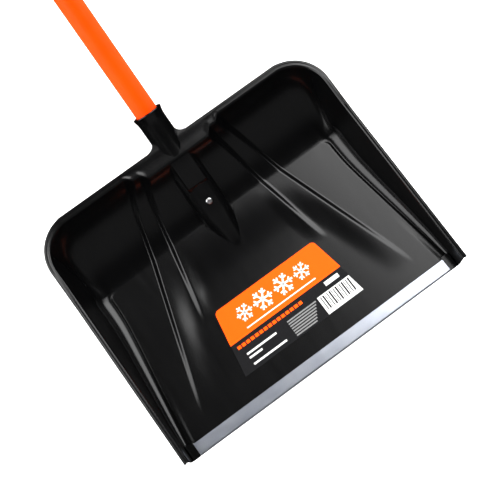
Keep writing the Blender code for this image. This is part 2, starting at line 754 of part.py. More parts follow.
def main():
    for obj in list(bpy.data.objects):
        bpy.data.objects.remove(obj, do_unlink=True)
    frame = bpy.data.objects.new("scoop_frame", None)
    bpy.context.scene.collection.objects.link(frame)

    black = make_material("black_polypropylene", (0.018, 0.018, 0.02), 0.35)
    grip_black = make_material("grip_plastic", (0.02, 0.02, 0.022), 0.6)
    orange = make_material("orange_coating", (1.0, 0.16, 0.0), 0.35)
    steel = make_material("tube_steel", (0.5, 0.5, 0.5), 0.4, 1.0)
    aluminium = make_material("strip_aluminium", (0.75, 0.77, 0.8), 0.35, 1.0)
    zinc = make_material("screw_zinc", (0.75, 0.75, 0.77), 0.25, 1.0)
    plug_plastic = make_material("plug_plastic", (0.12, 0.12, 0.12), 0.7)
    film = make_material("label_film", (0.9, 0.25, 0.03), 0.5)

    scoop, socket_bore = make_scoop(frame, black)
    make_wear_strip(frame, aluminium)
    tube, cover = make_shaft(frame, steel, orange)
    plug = make_tube_plug(frame, plug_plastic)
    grip_bore = make_grip(frame, grip_black)
    make_label(frame, film)

    seat = axis_point(SOCKET_SCREW_Y) + AXIS_UP * (TUNNEL_RADIUS - SCREW_SEAT_DEPTH)
    make_screw("socket_screw", seat, frame, zinc)
    drill_for_screw("socket_screw", seat, [socket_bore, tube, cover, plug], frame)
    seat = SHAFT_TOP - AXIS * GRIP_OVERLAP * 0.5 + AXIS_UP * (STEM_RADIUS - SCREW_SEAT_DEPTH)
    make_screw("grip_screw", seat, frame, zinc)
    drill_for_screw("grip_screw", seat, [grip_bore, tube, cover], frame)

    shapes = bpy.data.objects
    lay_on_ground(frame, [scoop, shapes["socket_collar_shape"]], [shapes["grip"], shapes["grip_loop_shape"]])


main()
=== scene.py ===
"""Looks of the snow shovel: a fine moulded scoop, a folded metal strip, a coated shaft, a D-grip, screws and
a printed sticker, on a pale floor under soft lights. Sizes are in millimetres, in the scoop's own frame: X
across, Y from the lip to the back, Z up from the floor. MM turns them into metres, and SCOOP turns them into
the world."""

import json
import math

import bmesh
import bpy
from mathutils import Matrix, Vector


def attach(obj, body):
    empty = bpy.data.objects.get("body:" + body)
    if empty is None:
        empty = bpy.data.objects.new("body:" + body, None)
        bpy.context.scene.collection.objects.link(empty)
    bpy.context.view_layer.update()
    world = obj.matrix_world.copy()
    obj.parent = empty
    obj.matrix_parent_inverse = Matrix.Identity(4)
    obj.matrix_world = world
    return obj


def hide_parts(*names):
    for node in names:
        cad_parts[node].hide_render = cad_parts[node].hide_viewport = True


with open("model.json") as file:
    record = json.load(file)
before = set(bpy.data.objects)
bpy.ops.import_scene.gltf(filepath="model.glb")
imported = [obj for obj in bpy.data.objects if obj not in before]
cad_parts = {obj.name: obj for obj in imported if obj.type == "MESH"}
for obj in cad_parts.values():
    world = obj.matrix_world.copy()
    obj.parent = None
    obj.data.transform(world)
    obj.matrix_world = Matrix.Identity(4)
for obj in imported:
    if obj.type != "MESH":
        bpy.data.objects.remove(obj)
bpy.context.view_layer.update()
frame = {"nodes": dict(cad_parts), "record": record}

MM = 0.001

# ---- sizes

# Scoop: plan, heights and wall
LIP_WIDTH, BACK_WIDTH = 480, 472
FLOOR_LENGTH, STRIP_DEPTH = 243, 20
LIP_Y, LIP_MARGIN = -(FLOOR_LENGTH + STRIP_DEPTH), 0.1
BACK_DEPTH, BACK_HEIGHT, LIP_HEIGHT = 110, 82, 38
SHELL, MOUNT_Y = 2.8, -185
FLOOR_HALF_AT_BACK, FLOOR_FLARE, FLARE_START, FLARE_SOFTNESS = 196.5, 0.15, 45, 20
FLOOR_CORNER, RIM_CORNER = 12, 58
FILLET_AT_BACK, FILLET_AT_LIP = 21, 6
BACK_ANGLE = math.radians(76)
FOLD_KICK, FOLD_FADE = math.tan(math.radians(13)), 1.5

# Relief of the floor: the step down beside each fillet, the crown near the lip, the grooves before the strip
EDGE_DROP, EDGE_DROP_WIDTH = 1.1, 4
CROWN_START, CROWN_DROP, CROWN_WIDTH = 140, 0.9, 60
GROOVE_PLACE, GROOVE_DEPTH, GROOVE_WIDTH = 6, 0.7, 1.3

# Rim: flange, its bends and its skirt
SIDE_RIM, BACK_RIM = 9, 12
RIM_BEND, RIM_SKIRT, OUTER_BEND = 4, 3.5, 3.4
RIM_GROOVE, SIDE_RIM_FALL, FLANGE_SLOPE = 0.7, 2.6, 0.19
WALL_TOP_Y = BACK_DEPTH - BACK_RIM

# Ribs: the foot's place at the fold and its slopes, and the heights of the crest and of the panel behind it
OUTER_RIB = {"at_fold": 118, "wall_slope": 0.27, "floor_slope": 0.32, "end": 222,
             "at_top": 8, "height": 6.5, "level_end": 108, "fall": 34}
INNER_RIB = {"at_fold": 85, "wall_slope": 0.17, "floor_slope": 0.22, "end": 118,
             "at_top": 10, "height": 6.5, "level_end": 80, "fall": 17}
RIB_FACE, RIB_FACE_AT_TOP = 8, 12

# Shaft, its collar, and the tunnel and boss over its foot
SHAFT_ANGLE = math.radians(29)
SHAFT_RADIUS, SHAFT_LENGTH, SHAFT_FOOT_Y = 16.5, 1050, 12
COATING, END_BREAK = 0.9, 0.4
AXIS_HEIGHT_AT_RIM = 70
COLLAR_RADIUS, COLLAR_LENGTH, MOUTH_RADIUS = 20, 52, 22.4
COLLAR_START, FOOT_BREAK = 2, 1.5
MOUTH_FLARE, MOUTH_LIP = 16, 1
TUNNEL_RADIUS, TUNNEL_HALF, TUNNEL_TIP = 20, 28.5, 70
TIP_HALF, TIP_POWER, TIP_SOFTNESS = 1.2, 1.4, 7
CROWN_WIDTH_SHARE, CROWN_END, CROWN_POWER = 0.9, 0.88, 2.3
FLARE_HALF, FLARE_LENGTH, FLARE_THICKNESS, FLARE_DROP, FLARE_ROOT = 31, 11.5, 4.6, 0.4, 4
BOSS_START, BOSS_STEP, BOSS_END, BOSS_HALF = 38, 3, 79, 16.5
BOSS_RISE, BOSS_TOP, BOSS_SINK, BOSS_CHAMFER = 25, 77.6, 1, 2
BOSS_FLOOR, BOSS_FLOOR_AT_END = 30, 60
BOSS_EDGE = ((0, 2.6), (0.8, 1.1), (2, 0.3), (3.6, 0))

# Strip, the tongue it is folded over and the lugs at its ends
STRIP_HALF, STRIP_SHEET, TONGUE = 217, 1.0, 1.8
SHEET_BREAK, GAP = 0.3, 0.3
LUG_WIDTH, LUG_RISE, LUG_CORNER = 11, 1.8, 1.5
ROOT, TONGUE_INSET = 3, 1

# Waves along the strip's top, as (height, length, phase)
STRIP_WAVES = ((0.05, 31, 0), (0.02, 13, 1))

# Screws
SCREW_RADIUS, SCREW_HEAD, SCREW_HEAD_HEIGHT, SCREW_LENGTH = 2.1, 4.7, 2.4, 20
SCREW_RIM, SCREW_RIM_BREAK, THREAD_TURNS, THREAD_ROOT = 0.8, 0.25, 12, 0.78
CROSS_REACH, CROSS_HALF, CROSS_DEPTH = 0.55, 0.11, 1.1
HEAD_ROOM, HEAD_CLEAR, HOLE_END, SEAT_DEPTH = 0.8, 9, 0.5, 0.4
SOCKET_SCREW_Y = 24.4

# Grip
GRIP_OVERLAP, STEM_RADIUS, STEM_TOP = 52, 19.5, 70
BAR_HALF, BAR_HEIGHT, BAR_RADIUS, BAR_FLAT = 57, 150, 13.4, 0.86
GRIP_WAIST, GRIP_WAIST_HEIGHT, GRIP_CORNER = 15, 68, 20
LOOP_SIDES, GRIP_VOXEL, GRIP_SMOOTHING = 28, 1.3, 8

# Sticker: outline, film and ink
LABEL_TOP, LABEL_BOTTOM, LABEL_MIDDLE = -112, -212, -165
LABEL_TOP_HALF, LABEL_BOTTOM_HALF, LABEL_CORNER = 88, 104, 7
FILM_LOW, FILM_HIGH, INK = 0.05, 0.22, 0.03

# Sticker's print: crystals as (place across, radius), lines as (low, right), boxes as left, right, low, high
BLACK, ORANGE, WHITE, GREY = range(4)
CRYSTALS, CRYSTAL_Y, CRYSTAL_BAR = ((-52, 13), (-20, 16), (16, 16), (48, 13)), -137, 0.19
RULE_BOX, END_BOX = (-62, 58, -158.5, -156.5), (63, 87, -176, -169.5)
DASHES, DASH_LEFT, DASH_PITCH, DASH_LENGTH, DASH_LEVELS = 15, -90, 7.6, 5.8, (-176, -171)
LINES, LINE_LEFT, LINE_HEIGHT = ((-189, -33), (-195.5, -62), (-206, -27)), -84, 3
STRIPES, STRIPE_LEFT, STRIPE_RIGHT, STRIPE_GROWTH = 7, -12, 24, 2.4
STRIPE_LOW, STRIPE_PITCH, STRIPE_HEIGHT = -209, 3.9, 2.2
BARS_BOX = (42, 102.6, -211, -182, -4.6)
BARS, BARS_LEFT, BARS_PITCH, BARS_LEVELS, BARS_WIDTHS = 14, 46, 3.6, (-205, -184), (1.2, 2.2, 0.8)

# Divisions of the scoop's grid, how steep and how high its duller side walls start, and its crease angle
ARC_STEPS, STRAIGHT_STEPS, CORNER_STEPS = 26, 8, 26
BEND_STEPS, GROOVE_STEPS, OUTER_STEPS = 5, 8, 6
COLUMN_COUNTS = [14, 5, 5, 3, 7, 4, 6, 6, 3, 8, 4, 12]
WALL_FACING, WALL_FOOT, SCOOP_CREASE = 0.9, 3, 32

# Divisions of bores, holes and the flared mouth, and how far the bores run past what they cut
BORE_SIDES, HOLE_SIDES, FLARE_STEPS = 96, 36, 8
BORE_END, CUT_MARGIN = 0.6, 5


def scoop_matrix():
    """Matrix from the scoop's own frame, in metres, to the world, read from the part's two mounts."""
    mounts = {mount["name"]: mount for mount in frame["record"]["mounts"]}
    up = mounts["strip_upper_face"]["axis"]
    turn = Matrix.Rotation(-math.atan2(up[1], up[2]), 4, "X")
    underside = Vector((0, MOUNT_Y * MM, -SHELL * MM))
    return Matrix.Translation(Vector(mounts["scoop_underside"]["pos_m"]) - turn @ underside) @ turn


SCOOP = scoop_matrix()


# ---- mesh helpers

def ease(t):
    """Smooth step from 0 to 1, held at both ends."""
    t = min(max(t, 0.0), 1.0)
    return t * t * (3 - 2 * t)


def mix(a, b, t):
    return a + (b - a) * t


def spread(stops, counts):
    """Places from the first stop to the last, each stretch divided evenly into its count."""
    places = []
    for low, high, count in zip(stops, stops[1:], counts):
        places += [mix(low, high, k / count) for k in range(count)]
    return places + [stops[-1]]


def arc(centre, radius, start, end, steps):
    """Points of an arc in a plane, from one angle in degrees to another."""
    angles = [math.radians(mix(start, end, k / steps)) for k in range(steps + 1)]
    return [(centre[0] + radius * math.cos(a), centre[1] + radius * math.sin(a)) for a in angles]


def circle(steps, start=0.0):
    """Cosine and sine of even steps round a full turn."""
    angles = [2 * math.pi * (k + start) / steps for k in range(steps)]
    return [(math.cos(a), math.sin(a)) for a in angles]


def turned(profile, matrix, steps=72):
    """Closed solid of revolution from a profile of (radius, height) points that ends on the axis or loops."""
    bm = bmesh.new()
    rings = []
    for radius, height in profile:
        places = circle(steps, 0.5) if radius else [(0, 0)]
        rings.append([bm.verts.new((radius * c, radius * s, height)) for c, s in places])
    pairs = list(zip(rings, rings[1:]))
    if profile[0][0] != 0:
        pairs.append((rings[-1], rings[0]))
    for low, high in pairs:
        for k in range(steps):
            corners = [low[k % len(low)], low[(k + 1) % steps % len(low)],
                       high[(k + 1) % steps % len(high)], high[k % len(high)]]
            bm.faces.new(list(dict.fromkeys(corners)))
    bm.transform(matrix)
    return bm


def bridged(bm, rings, closed=False):
    """Joins rings of vertices, each to the next, with four-sided faces, and closes the two ends if asked."""
    for low, high in zip(rings, rings[1:]):
        for k in range(len(low)):
            bm.faces.new([low[k], low[k - 1], high[k - 1], high[k]])
    if closed:
        bm.faces.new(rings[0])
        bm.faces.new(rings[-1])


def extruded(outline, low, high):
    """Closed solid between two levels of Z with the given outline in X and Y."""
    bm = bmesh.new()
    base = bm.faces.new([bm.verts.new((x, y, low)) for x, y in outline])
    for item in bmesh.ops.extrude_face_region(bm, geom=[base])["geom"]:
        if isinstance(item, bmesh.types.BMVert):
            item.co.z = high
    return bm


def rounded(outline, radius, steps=4):
    """Outline with each corner rounded by a short curve."""
    points = []
    for before, corner, after in zip(outline[-1:] + outline[:-1], outline, outline[1:] + outline[:1]):
        corner = Vector(corner)
        back, ahead = (Vector(before) - corner).normalized(), (Vector(after) - corner).normalized()
        start, end = corner + back * radius, corner + ahead * radius
        for k in range(steps + 1):
            t = k / steps
            points.append(tuple(start.lerp(corner, t).lerp(corner.lerp(end, t), t)))
    return points


def linked(name, data):
    """New object in the scene."""
    obj = bpy.data.objects.new(name, data)
    bpy.context.scene.collection.objects.link(obj)
    return obj


def meshed(name, bm, materials):
    """New smooth-shaded object from a bmesh."""
    bmesh.ops.recalc_face_normals(bm, faces=bm.faces)
    mesh = bpy.data.meshes.new(name)
    bm.to_mesh(mesh)
    bm.free()
    for material in materials:
        mesh.materials.append(material)
    mesh.shade_smooth()
    return linked(name, mesh)


def add_object(name, bm, materials=(), crease=35):
    """Object from a bmesh in millimetres in the scoop's frame, set in its place in the world."""
    bm.transform(SCOOP @ Matrix.Scale(MM, 4))
    obj = meshed(name, bm, materials)
    obj.data.set_sharp_from_angle(angle=math.radians(crease))
    return obj


def combine(obj, bm, operation="DIFFERENCE"):
    """Cuts a helper shape out of an object, or joins it on, and removes the helper."""
    other = add_object("helper", bm)
    modifier = obj.modifiers.new("combine", "BOOLEAN")
    modifier.operation = operation
    modifier.object = other
    apply_modifiers(obj)
    bpy.data.objects.remove(other, do_unlink=True)


def apply_modifiers(obj):
    """Replaces an object's mesh with what its modifiers make of it."""
    depsgraph = bpy.context.evaluated_depsgraph_get()
    mesh = bpy.data.meshes.new_from_object(obj.evaluated_get(depsgraph), depsgraph=depsgraph)
    obj.modifiers.clear()
    obj.data = mesh


def soften_normals(obj, crease=40):
    """Smooth shading with a sharp edge only where faces meet steeply."""
    obj.data.shade_smooth()
    obj.data.set_sharp_from_angle(angle=math.radians(crease))


def show(obj, slot, *nodes):
    """The piece rides on the one body and stands for its CAD nodes; slot is not used."""
    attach(obj, "root")
    if nodes:
        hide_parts(*nodes)


# ---- materials

class Nodes:
    """A material's node tree, with short ways to add what the materials here need."""

    def __init__(self, name, colour, roughness, metallic=0.0, specular=0.5):
        self.material = bpy.data.materials.new(name)
        self.material.use_nodes = True
        self.tree = self.material.node_tree
        self.inputs = self.tree.nodes["Principled BSDF"].inputs
        self.inputs["Base Color"].default_value = (*colour, 1)
        self.inputs["Roughness"].default_value = roughness
        self.inputs["Metallic"].default_value = metallic
        self.inputs["Specular IOR Level"].default_value = specular
        self.place = self.tree.nodes.new("ShaderNodeTexCoord").outputs["Object"]

    def link(self, output, target):
        self.tree.links.new(output, target)

    def stretched(self, scale):
        """Object coordinates scaled, for grain that runs one way."""
        mapping = self.tree.nodes.new("ShaderNodeMapping")
        mapping.inputs["Scale"].default_value = scale
        self.link(self.place, mapping.inputs["Vector"])
        return mapping.outputs["Vector"]

    def noise(self, size_mm, detail=3, coordinates=None):
        """Noise with features of about this size."""
        node = self.tree.nodes.new("ShaderNodeTexNoise")
        node.inputs["Scale"].default_value = 1 / (size_mm * MM)
        node.inputs["Detail"].default_value = detail
        self.link(coordinates or self.place, node.inputs["Vector"])
        return node.outputs["Fac"]

    def remap(self, noise, low, high):
        """Maps a noise's middle range to the range from low to high."""
        node = self.tree.nodes.new("ShaderNodeMapRange")
        for name, number in (("From Min", 0.3), ("From Max", 0.7), ("To Min", low), ("To Max", high)):
            node.inputs[name].default_value = number
        self.link(noise, node.inputs["Value"])
        return node.outputs["Result"]

    def tint(self, noise, first, second):
        """Lets the colour wander between two colours with a noise."""
        node = self.tree.nodes.new("ShaderNodeMix")
        node.data_type = "RGBA"
        node.inputs["A"].default_value = (*first, 1)
        node.inputs["B"].default_value = (*second, 1)
        self.link(self.remap(noise, 0, 1), node.inputs["Factor"])
        self.link(node.outputs["Result"], self.inputs["Base Color"])

    def rough(self, noise, low, high):
        """Lets the roughness wander between two values with a noise."""
        self.link(self.remap(noise, low, high), self.inputs["Roughness"])

    def bump(self, *layers):
        """Chains bumps, each given as (height output, depth in millimetres, strength)."""
        normal = None
        for height, depth, strength in layers:
            node = self.tree.nodes.new("ShaderNodeBump")
            node.inputs["Distance"].default_value = depth * MM
            node.inputs["Strength"].default_value = strength
            self.link(height, node.inputs["Height"])
            if normal:
                self.link(normal, node.inputs["Normal"])
            normal = node.outputs["Normal"]
        self.link(normal, self.inputs["Normal"])


def scoop_plastic():
    """Black moulded polypropylene: satin, with a fine skin and long flow marks."""
    nodes = Nodes("black_polypropylene", (0.0015, 0.0015, 0.0017), 0.24)
    streaks = nodes.noise(9, 4, nodes.stretched((1, 0.12, 0.12)))
    nodes.tint(nodes.noise(60), (0.0012, 0.0012, 0.0014), (0.002, 0.002, 0.0022))
    nodes.rough(streaks, 0.225, 0.255)
    nodes.bump((nodes.noise(0.55, 2), 0.02, 0.3), (streaks, 0.02, 0.1))
    return nodes.material


def wall_plastic():
    """The same plastic on the side walls, where the mould's texture is coarser and the surface dull."""
    nodes = Nodes("black_polypropylene_textured", (0.0015, 0.0015, 0.0017), 0.5, specular=0.12)
    nodes.rough(nodes.noise(30), 0.44, 0.54)
    nodes.bump((nodes.noise(0.7), 0.03, 0.4))
    return nodes.material


def grip_plastic():
    """Black plastic with a fine matt grain."""
    nodes = Nodes("grip_plastic", (0.012, 0.012, 0.013), 0.55)
    wear = nodes.noise(25, 4)
    nodes.tint(wear, (0.009, 0.009, 0.01), (0.016, 0.016, 0.017))
    nodes.rough(wear, 0.46, 0.6)
    nodes.bump((nodes.noise(0.5), 0.06, 0.6))
    return nodes.material


def strip_metal():
    """Rolled aluminium sheet: grain along the strip, with fine scratches and slightly uneven brightness."""
    nodes = Nodes("rolled_aluminium", (0.72, 0.75, 0.8), 0.32, 1.0)
    grain = nodes.noise(0.35, 3, nodes.stretched((0.02, 1, 1)))
    scratches = nodes.noise(1.6, 5, nodes.stretched((0.06, 1, 1)))
    nodes.tint(nodes.noise(30), (0.51, 0.54, 0.61), (0.59, 0.62, 0.68))
    nodes.rough(scratches, 0.29, 0.34)
    nodes.bump((grain, 0.004, 0.25))
    return nodes.material


def coating_plastic():
    """Smooth orange coating with a faint orange-peel surface."""
    nodes = Nodes("orange_coating", (0.98, 0.062, 0.0), 0.4, specular=0.14)
    tone = nodes.noise(70, 2)
    nodes.tint(tone, (0.98, 0.064, 0.0), (0.98, 0.075, 0.0))
    nodes.rough(tone, 0.36, 0.44)
    nodes.bump((nodes.noise(2.2, 2), 0.03, 0.25))
    return nodes.material


def plain_metal(name, colour, low, high):
    """Bright metal with fine turning marks."""
    nodes = Nodes(name, colour, (low + high) / 2, 1.0)
    marks = nodes.noise(0.8, 4)
    nodes.rough(marks, low, high)
    nodes.bump((marks, 0.01, 0.3))
    return nodes.material


def plug_plastic():
    """Dull grey plastic of the tube's plug."""
    nodes = Nodes("plug_plastic", (0.1, 0.1, 0.1), 0.7)
    grain = nodes.noise(0.8)
    nodes.rough(grain, 0.6, 0.8)
    nodes.bump((grain, 0.03, 0.4))
    return nodes.material


def print_film(name, colour, shade):
    """Printed sticker film: semi-gloss, with a faint mottle in the ink."""
    nodes = Nodes(name, colour, 0.42, specular=0.13)
    mottle = nodes.noise(1.4)
    nodes.tint(mottle, shade, colour)
    nodes.rough(mottle, 0.38, 0.48)
    return nodes.material


def floor_paper():
    """Pale studio paper with a glow of its own."""
    nodes = Nodes("studio_paper", (0.9, 0.9, 0.9), 0.9, specular=0.1)
    nodes.inputs["Emission Color"].default_value = (1, 1, 1, 1)
    nodes.inputs["Emission Strength"].default_value = 0.7
    nodes.tint(nodes.noise(1.5), (0.89, 0.89, 0.89), (0.91, 0.91, 0.91))
    return nodes.material


# ---- shaft axis

AXIS = Vector((0, math.cos(SHAFT_ANGLE), math.sin(SHAFT_ANGLE)))
AXIS_UP = Vector((0, -math.sin(SHAFT_ANGLE), math.cos(SHAFT_ANGLE)))


def axis_point(y):
    """Point of the shaft's axis above a place on the floor."""
    return Vector((0, y, AXIS_HEIGHT_AT_RIM - (BACK_DEPTH - y) * math.tan(SHAFT_ANGLE)))


def along_shaft(start):
    """Matrix that stands a turned solid on the shaft's axis, its Z along the shaft, its Y on AXIS_UP."""
    return Matrix.Translation(start) @ Matrix((Vector((-1, 0, 0)), AXIS_UP, AXIS)).transposed().to_4x4()


def across_shaft(start):
    """Matrix for a screw: its Z leaves the shaft at right angles, out of the scoop's open side."""
    turn = Matrix((Vector((1, 0, 0)), -AXIS, AXIS_UP)).transposed().to_4x4()
    return Matrix.Translation(start) @ turn


SHAFT_FOOT = axis_point(SHAFT_FOOT_Y)
SHAFT_TOP = SHAFT_FOOT + AXIS * SHAFT_LENGTH
MOUTH = axis_point(BACK_DEPTH) + AXIS * COLLAR_LENGTH
SOCKET_SCREW_SEAT = axis_point(SOCKET_SCREW_Y) + AXIS_UP * (TUNNEL_RADIUS - SEAT_DEPTH)
GRIP_SCREW_SEAT = SHAFT_TOP - AXIS * GRIP_OVERLAP / 2 + AXIS_UP * (STEM_RADIUS - SEAT_DEPTH)


# ---- scoop: ribs and tunnel

def rib_foot(rib, s):
    """Distance of a rib's foot from the middle, at s up the wall or, where s is negative, down the floor."""
    slope = rib["wall_slope"] if s > 0 else rib["floor_slope"]
    return rib["at_fold"] - slope * max(s, -rib["end"])


def rib_face(s):
    """Width of a rib's steep face, which widens up the wall."""
    return mix(RIB_FACE, RIB_FACE_AT_TOP, ease(s / BACK_WALL_LENGTH))


def rib_rise(rib, inside, s):
    """How far a rib lifts the panel behind its foot: a crest along the rib, then the level of the panel."""
    if inside <= 0 or s < -rib["end"]:
        return 0.0
    face = rib_face(s)
    wall_share = ease(s / BACK_WALL_LENGTH)
    crest = mix(rib["height"] * (1 + min(s, 0) / rib["end"]), rib["at_top"], wall_share)
    level = mix(rib["height"] * ease(1 + min(s, 0) / rib["level_end"]), rib["at_top"], wall_share)
    behind = ease((inside - face) / rib["fall"])
    return ease(inside / face) * mix(crest, level, behind)


def panel_rise(x, s):
    """Height of the stepped panels over the plain wall or floor."""
    return sum(rib_rise(rib, rib_foot(rib, s) - abs(x), s) for rib in (OUTER_RIB, INNER_RIB))


def tunnel_half(y):
    """Half width of the tunnel's foot, which closes to a point on the floor."""
    if y >= 0:
        return TUNNEL_HALF
    share = min(-y / TUNNEL_TIP, 1)
    return max(TUNNEL_HALF * (1 - share ** TIP_POWER), TIP_HALF)


def tunnel_rise(x, base, push):
    """How far the tunnel lifts the surface here: a broad crown, on flanks that run out to its foot."""
    half = tunnel_half(base.y)
    if half <= TIP_HALF:
        return 0.0
    crown_half = half * CROWN_WIDTH_SHARE
    away = (base - axis_point(0)).dot(AXIS_UP)
    lean = push.dot(AXIS_UP)
    side = max(-away, 0) / lean
    ridge = (TUNNEL_RADIUS - max(away, 0)) / lean
    crown = (ridge + math.sqrt(ridge ** 2 + TIP_SOFTNESS ** 2)) / 2
    edge = CROWN_END * crown_half
    if abs(x) <= edge:
        return side + crown * crown_shape(abs(x) / crown_half)
    t = min((abs(x) - edge) / (half - edge), 1)
    return (side + crown * crown_shape(CROWN_END)) * (1 - t) ** 2


def crown_shape(share):
    """Height of the crown's cross-section, from 1 in the middle to 0 at its full half width."""
    return (1 - share ** CROWN_POWER) ** (1 / CROWN_POWER)


# ---- scoop: outline and sections

def floor_half(y):
    """Half width of the flat floor."""
    past = -y - FLARE_START
    return FLOOR_HALF_AT_BACK + FLOOR_FLARE * (past + math.sqrt(past ** 2 + FLARE_SOFTNESS ** 2)) / 2


def rim_half(y):
    """Half width over the outside of the rim."""
    return mix(BACK_WIDTH, LIP_WIDTH, min(y, 0) / LIP_Y) / 2


def rim_height(y):
    """Height of the rim's top over the floor."""
    return mix(LIP_HEIGHT, BACK_HEIGHT, min((y - LIP_Y) / (BACK_DEPTH - RIM_CORNER - LIP_Y), 1))


def inside_outline(x, y, inset, back_inset):
    """True inside the plan outline, drawn in from the rim by an inset at the sides and at the back."""
    radius = RIM_CORNER - inset
    half, back = rim_half(y) - inset, BACK_DEPTH - back_inset
    past_side, past_back = abs(x) - (half - radius), y - (back - radius)
    if past_side > 0 and past_back > 0:
        return past_side ** 2 + past_back ** 2 < radius ** 2
    return abs(x) < half and y < back


def reach_to_outline(origin, direction, inset, back_inset):
    """Distance from a point to that outline, going one way."""
    near, far = 0.0, 300.0
    for _ in range(30):
        middle = (near + far) / 2
        point = origin + direction * middle
        if inside_outline(point.x, point.y, inset, back_inset):
            near = middle
        else:
            far = middle
    return near


def section_sizes(reach, rise, angle):
    """Radius of the arc and length of the straight run that together climb a wall of this reach and rise."""
    share = 1 - math.cos(angle)
    return ((reach * math.sin(angle) - rise * math.cos(angle)) / share,
            (rise * math.sin(angle) - reach * share) / share)


def side_angle(reach, rise, radius):
    """Steepness at which an arc of this radius and a straight run fill this reach and rise."""
    low, high = math.radians(50), math.radians(89.5)
    for _ in range(30):
        angle = (low + high) / 2
        climb = rise - RIM_BEND * (1 - math.cos(angle)) - radius * (1 - math.cos(angle))
        if radius * math.sin(angle) + climb / math.tan(angle) > reach:
            low = angle
        else:
            high = angle
    return angle


BACK_RISE = BACK_HEIGHT - RIM_BEND * (1 - math.cos(BACK_ANGLE))
BACK_ARC, BACK_STRAIGHT = section_sizes(WALL_TOP_Y, BACK_RISE, BACK_ANGLE)
BACK_WALL_LENGTH = BACK_ARC * BACK_ANGLE + BACK_STRAIGHT


def wall_section(reach, rise, angle):
    """Points (outwards, up, turn) of a wall: an arc that starts flat on the floor, then a straight run."""
    radius, straight = section_sizes(reach, rise - RIM_BEND * (1 - math.cos(angle)), angle)
    points = []
    for k in range(ARC_STEPS + 1):
        turn = angle * k / ARC_STEPS
        points.append((radius * math.sin(turn), radius * (1 - math.cos(turn)), turn))
    out, up, _ = points[-1]
    for k in range(1, STRAIGHT_STEPS + 1):
        run = straight * k / STRAIGHT_STEPS
        points.append((out + run * math.cos(angle), up + run * math.sin(angle), angle))
    return points


def rim_section(start, angle, outer, fall):
    """Points (outwards, up, hold) from a wall's top to the skirt's foot; panels push where hold is 0."""
    out, up = start
    points = []
    for k in range(1, BEND_STEPS + 1):
        turn = angle * (1 - k / BEND_STEPS)
        points.append((out + RIM_BEND * (math.sin(angle) - math.sin(turn)),
                       up + RIM_BEND * (math.cos(turn) - math.cos(angle)), 0))
    crest, top, _ = points[-1]
    for k in range(1, GROOVE_STEPS + 1):
        share = k / GROOVE_STEPS
        dip = RIM_GROOVE * math.sin(math.pi * share) ** 2 + fall * share ** 2
        points.append((mix(crest, outer - OUTER_BEND, share), top - dip, share))
    for k in range(1, OUTER_STEPS + 1):
        turn = math.pi / 2 * k / OUTER_STEPS
        points.append((outer - OUTER_BEND * (1 - math.sin(turn)),
                       top - fall - OUTER_BEND * (1 - math.cos(turn)), 1))
    foot = top - RIM_BEND - RIM_SKIRT
    points.append((outer, mix(top - fall - OUTER_BEND, foot, 0.5), 1))
    points.append((outer, foot, 1))
    return points


def station_section(origin, direction, back_share):
    """Wall and rim of one station that starts at a point of the floor's edge; back_share is 1 at the back."""
    reach = reach_to_outline(origin, direction, SIDE_RIM, BACK_RIM) - FLOOR_CORNER
    outer = reach_to_outline(origin, direction, 0, 0) - FLOOR_CORNER
    rise = rim_height((origin + direction * (outer + FLOOR_CORNER)).y)
    fillet = mix(FILLET_AT_BACK, FILLET_AT_LIP, min(max(origin.y / LIP_Y, 0), 1))
    angle = mix(side_angle(reach, rise, fillet), BACK_ANGLE, ease(back_share))
    wall = wall_section(reach, rise, angle)
    return wall, rim_section(wall[-1][:2], angle, outer, SIDE_RIM_FALL * (1 - back_share)), rise


def fold_lift(y, up, rise):
    """Extra height behind the fold line, where the floor kinks upwards; it fades out up to the rim."""
    return FOLD_KICK * max(y, 0) * max(1 - up / rise, 0) ** FOLD_FADE


# ---- scoop: the moulding

UP = Vector((0, 0, 1))
CORE_BACK = -FLOOR_CORNER
CORE_ROWS = spread([-FLOOR_LENGTH, -TUNNEL_TIP - 10, CORE_BACK], [56, 34])
SIDE_ROWS = spread([LIP_Y + LIP_MARGIN, -FLOOR_LENGTH], [8])[:-1]
EDGE_PLACES = spread([FLOOR_CORNER, EDGE_DROP_WIDTH, 0], [3, 5])[1:-1]


def column_places(y, s, edge):
    """Half the columns of the grid at one row, from the middle outwards; they follow tunnel and ribs."""
    half = tunnel_half(y)
    inner, outer = rib_foot(INNER_RIB, s), rib_foot(OUTER_RIB, s)
    face = rib_face(s)
    crown_edge = half * CROWN_WIDTH_SHARE * CROWN_END
    inner_crest, outer_crest = inner - face, outer - face
    stops = [0, crown_edge, mix(crown_edge, half, 0.5), half, mix(half, inner_crest, 0.5),
             inner_crest - 2, inner_crest + 1, inner, mix(inner, outer_crest, 0.6),
             outer_crest - 2, outer, outer + 4, edge]
    return spread(stops, COLUMN_COUNTS)


def both_sides(places):
    """Mirrors half a row of columns, from left to right."""
    return [-x for x in reversed(places[1:])] + places


class Surface:
    """Points of the scoop's open side, each with and without the tunnel, and the faces between them."""

    def __init__(self):
        self.plain, self.full, self.faces = [], [], []

    def add(self, point, lifted=None):
        self.plain.append(point)
        self.full.append(lifted or point)
        return len(self.plain) - 1

    def skin(self, lines):
        """Faces between neighbouring lines of points; a missing point leaves its faces out."""
        for left, right in zip(lines, lines[1:]):
            for k in range(len(left) - 1):
                corners = [left[k], right[k], right[k + 1], left[k + 1]]
                if None not in corners:
                    self.faces.append(list(dict.fromkeys(corners)))


